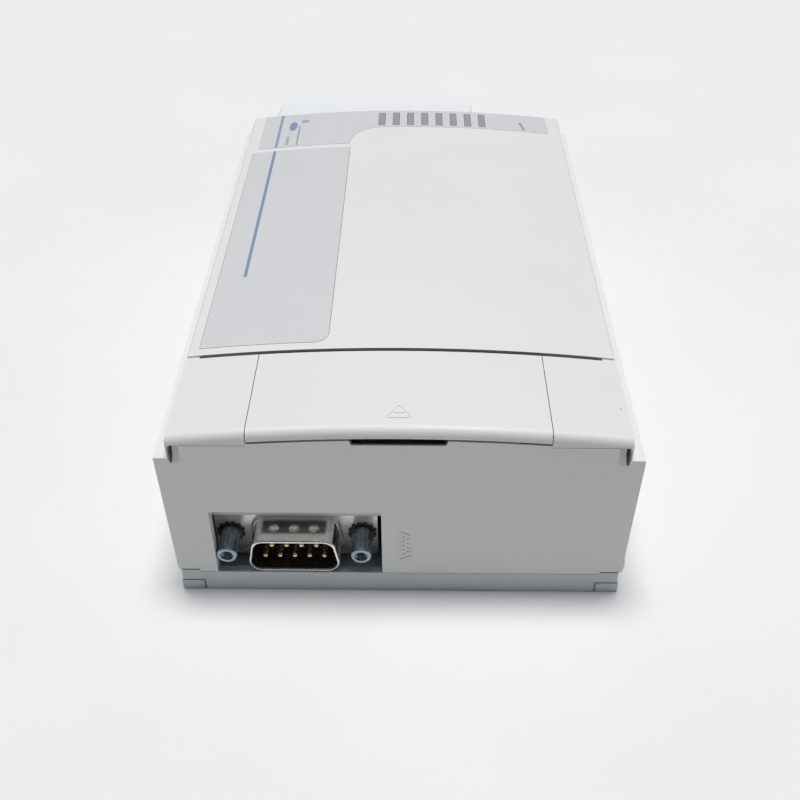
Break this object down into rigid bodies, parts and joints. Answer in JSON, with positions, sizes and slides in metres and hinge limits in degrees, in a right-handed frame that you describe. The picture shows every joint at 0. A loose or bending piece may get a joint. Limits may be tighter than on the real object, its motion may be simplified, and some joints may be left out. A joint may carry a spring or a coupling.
{
  "type": "plc processor module",
  "caption": "Plug-in processor module with a crowned cover, hinged control door, accessory bay lid, status windows, a nine-way serial port and a rear plug.",
  "frame": {"origin": "bottom centre of the module's box, on the face it lies on", "axes": "+Z out of the crowned cover, -Y the serial port's end, +Y the end with the rear plug, +X to the right seen from the port's end"},
  "size_m": [0.0836, 0.136, 0.0411],
  "materials": {
    "housing_plastic": "fine-textured light grey moulded plastic",
    "cover_plastic": "fine-textured off-white moulded plastic",
    "base_plastic": "slightly darker grey moulded plastic",
    "label_film": "satin printed polyester film",
    "smoked_lens": "smoked clear light pipe",
    "lamp_body": "clear lamp body",
    "tray_plastic": "dark grey moulded plastic",
    "circuit_board": "green solder mask over glass-epoxy board",
    "black_plastic": "black moulded thermoplastic",
    "blue_plastic": "blue moulded trimmer body",
    "white_plastic": "white moulded plastic",
    "battery_sleeve": "shrink-wrapped cell sleeve",
    "tin_plate": "bright tin-plated steel",
    "dark_steel": "dark plated steel",
    "steel": "zinc-plated steel",
    "can_aluminium": "drawn aluminium can",
    "gold_contact": "gold-plated contact",
    "clear_plastic": "natural translucent polycarbonate"
  },
  "bodies": {
    "module": {"lower_housing": "housing_plastic", "top_cover": "cover_plastic", "base_plate": "base_plastic", "rating_label": "label_film", "status_label": "label_film", "light_pipes": "smoked_lens", "indicator_lamps": "lamp_body", "control_tray": "tray_plastic", "control_board": "circuit_board", "control_header": "black_plastic", "trim_pot_bodies": "blue_plastic", "mode_switch_body": "black_plastic", "battery": "battery_sleeve", "battery_contacts": "tin_plate", "main_board": "circuit_board", "upper_board": "circuit_board", "stack_headers": "black_plastic", "processor_chip": "black_plastic", "memory_chips": "black_plastic", "driver_chip": "black_plastic", "clock_crystal": "tin_plate", "capacitors": "can_aluminium", "bay_socket": "black_plastic", "bay_socket_contacts": "gold_contact", "port_shell": "tin_plate", "port_insulator": "black_plastic", "port_pins": "gold_contact", "port_brackets": "tin_plate", "jack_posts": "dark_steel", "lock_washers": "dark_steel", "jack_nuts": "steel", "rear_plug": "clear_plastic", "rear_plug_pins": "gold_contact", "board_standoffs": "base_plastic", "board_screws": "steel", "base_screws": "steel"},
    "door": {"access_door": "cover_plastic", "door_hinge_pins": "steel"},
    "bay_lid": {"bay_lid": "cover_plastic", "bay_label": "label_film"},
    "mode_switch": {"mode_switch_lever": "white_plastic"},
    "trimmer_1": {"trim_pot_rotor_1": "white_plastic"},
    "trimmer_2": {"trim_pot_rotor_2": "white_plastic"}
  },
  "joints": [
    {"name": "door_hinge", "type": "hinge", "parent": "module", "child": "door", "pos_m": [0, -0.04945, 0.03895], "axis": [-1, 0, 0], "range_deg": [0, 105]},
    {"name": "bay_lid_lift", "type": "slide", "parent": "module", "child": "bay_lid", "axis": [0, 0, 1], "range_m": [0, 0.012]},
    {"name": "mode_switch_slide", "type": "slide", "parent": "module", "child": "mode_switch", "axis": [0, 1, 0], "range_m": [-0.0025, 0.0025]},
    {"name": "trimmer_1_turn", "type": "hinge", "parent": "module", "child": "trimmer_1", "pos_m": [-0.0215, -0.05645, 0.027], "axis": [0, 0, 1], "range_deg": [-135, 135]},
    {"name": "trimmer_2_turn", "type": "hinge", "parent": "module", "child": "trimmer_2", "pos_m": [-0.014, -0.05645, 0.027], "axis": [0, 0, 1], "range_deg": [-135, 135]}
  ]
}
